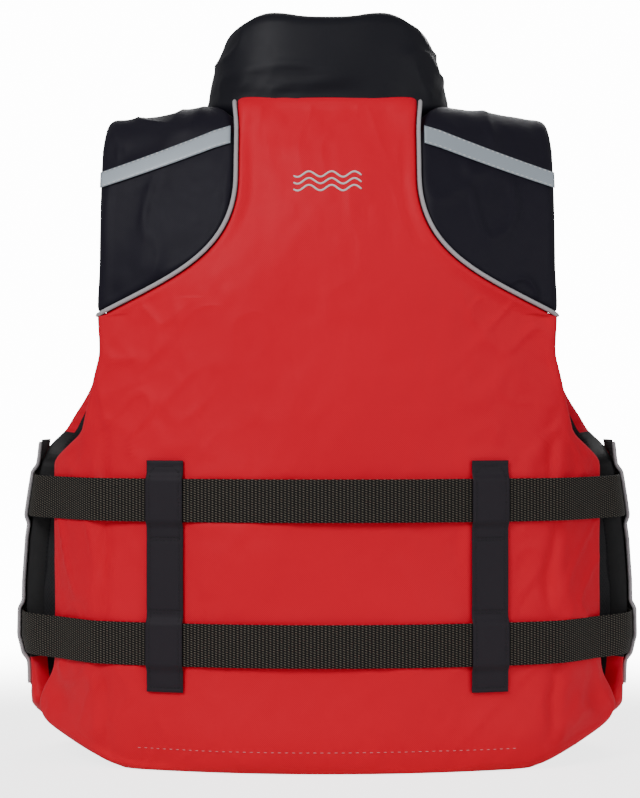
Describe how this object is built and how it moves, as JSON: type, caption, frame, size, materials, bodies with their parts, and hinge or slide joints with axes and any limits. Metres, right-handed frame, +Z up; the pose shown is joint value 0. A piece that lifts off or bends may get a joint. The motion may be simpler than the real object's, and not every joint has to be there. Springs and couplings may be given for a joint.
{
  "type": "life jacket",
  "caption": "Foam life jacket with a zip front, padded stand-up collar and shoulders, webbing belts with side-release buckles, belt loops, flap pockets and reflective tape",
  "frame": {"origin": "under the middle of the overall width and depth, at the hem", "axes": "+Z up; the wearer faces +Y, so the back panel faces -Y and the zip is on the +Y side; +X is the wearer's right"},
  "size_m": [0.5822, 0.2834, 0.68],
  "materials": {
    "black_nylon": "woven nylon cover cloth, black with a slight blue cast, satin",
    "buckle_plastic": "black moulded acetal",
    "foam": "closed-cell buoyancy foam, off-white",
    "lining_cloth": "thin black lining cloth, matt",
    "piping": "light grey piping cord",
    "red_nylon": "woven nylon cover cloth, bright red, satin",
    "reflective_tape": "grey-blue retroreflective tape with white stitching",
    "side_mesh": "knitted black mesh, coarse and matt",
    "webbing": "black polypropylene webbing and strap cloth, coarse weave",
    "zip_metal": "black painted zinc"
  },
  "bodies": {
    "jacket": {"back_cover": "red_nylon", "back_foam_inner": "foam", "back_foam_outer": "foam", "back_lining": "lining_cloth", "back_loop_left": "webbing", "back_loop_right": "webbing", "back_piping_left": "piping", "back_piping_right": "piping", "back_tape_left": "reflective_tape", "back_tape_right": "reflective_tape", "collar_cover": "black_nylon", "collar_foam": "foam", "collar_lining": "black_nylon", "front_cover_left": "red_nylon", "front_cover_right": "red_nylon", "front_foam_left": "foam", "front_foam_right": "foam", "front_lining_left": "lining_cloth", "front_lining_right": "lining_cloth", "front_tape_left": "reflective_tape", "front_tape_right": "reflective_tape", "hang_loop": "webbing", "lower_belt": "webbing", "lower_buckle_housing": "buckle_plastic", "pocket_left": "red_nylon", "pocket_right": "red_nylon", "shoulder_cover_left": "black_nylon", "shoulder_cover_right": "black_nylon", "shoulder_foam_left": "foam", "shoulder_foam_right": "foam", "shoulder_lining_left": "lining_cloth", "shoulder_lining_right": "lining_cloth", "side_band_left": "side_mesh", "side_band_right": "side_mesh", "side_gusset_left": "lining_cloth", "side_gusset_right": "lining_cloth", "side_piping_left": "piping", "side_piping_right": "piping", "storm_flap": "lining_cloth", "upper_belt": "webbing", "upper_buckle_housing": "buckle_plastic", "zip_box": "buckle_plastic", "zip_tape_left": "black_nylon", "zip_tape_right": "black_nylon", "zip_teeth_left": "buckle_plastic", "zip_teeth_right": "buckle_plastic"},
    "upper_tongue": {"upper_buckle_tongue": "buckle_plastic", "upper_strap_tail": "webbing"},
    "upper_keeper": {"upper_strap_keeper": "webbing"},
    "upper_arm_top": {"upper_buckle_arm_top": "buckle_plastic"},
    "upper_arm_bottom": {"upper_buckle_arm_bottom": "buckle_plastic"},
    "lower_tongue": {"lower_buckle_tongue": "buckle_plastic", "lower_strap_tail": "webbing"},
    "lower_keeper": {"lower_strap_keeper": "webbing"},
    "lower_arm_top": {"lower_buckle_arm_top": "buckle_plastic"},
    "lower_arm_bottom": {"lower_buckle_arm_bottom": "buckle_plastic"},
    "slider": {"zip_slider": "zip_metal"},
    "pull": {"zip_pull": "zip_metal"},
    "flap_right": {"pocket_flap_right": "red_nylon"},
    "flap_left": {"pocket_flap_left": "red_nylon"}
  },
  "joints": [
    {"name": "zip_slide", "type": "slide", "parent": "jacket", "child": "slider", "axis": [0, 0.0896, -0.996], "range_m": [0, 0.4]},
    {"name": "zip_pull_swing", "type": "hinge", "parent": "slider", "child": "pull", "pos_m": [0, 0.09304, 0.42402], "axis": [1, 0, 0], "range_deg": [0, 150]},
    {"name": "upper_tongue_slide", "type": "slide", "parent": "jacket", "child": "upper_tongue", "axis": [1, 0, 0], "range_m": [0, 0.04]},
    {"name": "upper_arm_top_flex", "type": "hinge", "parent": "upper_tongue", "child": "upper_arm_top", "pos_m": [0.0119, 0.11827, 0.25639], "axis": [0, 0.996, 0.0896], "range_deg": [0, 9], "stiffness_Nm_per_rad": 0.05},
    {"name": "upper_arm_bottom_flex", "type": "hinge", "parent": "upper_tongue", "child": "upper_arm_bottom", "pos_m": [0.0119, 0.12093, 0.2269], "axis": [0, -0.996, -0.0896], "range_deg": [0, 9], "stiffness_Nm_per_rad": 0.05},
    {"name": "upper_keeper_slide", "type": "slide", "parent": "jacket", "child": "upper_keeper", "axis": [1, 0, 0], "range_m": [-0.012, 0.012]},
    {"name": "lower_tongue_slide", "type": "slide", "parent": "jacket", "child": "lower_tongue", "axis": [1, 0, 0], "range_m": [0, 0.04]},
    {"name": "lower_arm_top_flex", "type": "hinge", "parent": "lower_tongue", "child": "lower_arm_top", "pos_m": [0.0119, 0.1297, 0.12939], "axis": [0, 0.996, 0.0896], "range_deg": [0, 9], "stiffness_Nm_per_rad": 0.05},
    {"name": "lower_arm_bottom_flex", "type": "hinge", "parent": "lower_tongue", "child": "lower_arm_bottom", "pos_m": [0.0119, 0.13236, 0.0999], "axis": [0, -0.996, -0.0896], "range_deg": [0, 9], "stiffness_Nm_per_rad": 0.05},
    {"name": "lower_keeper_slide", "type": "slide", "parent": "jacket", "child": "lower_keeper", "axis": [1, 0, 0], "range_m": [-0.012, 0.012]},
    {"name": "pocket_flap_right_lift", "type": "hinge", "parent": "jacket", "child": "flap_right", "pos_m": [0.114, 0.11747, 0.20061], "axis": [1, 0, 0], "range_deg": [0, 45]},
    {"name": "pocket_flap_left_lift", "type": "hinge", "parent": "jacket", "child": "flap_left", "pos_m": [-0.114, 0.11747, 0.20061], "axis": [1, 0, 0], "range_deg": [0, 45]}
  ]
}
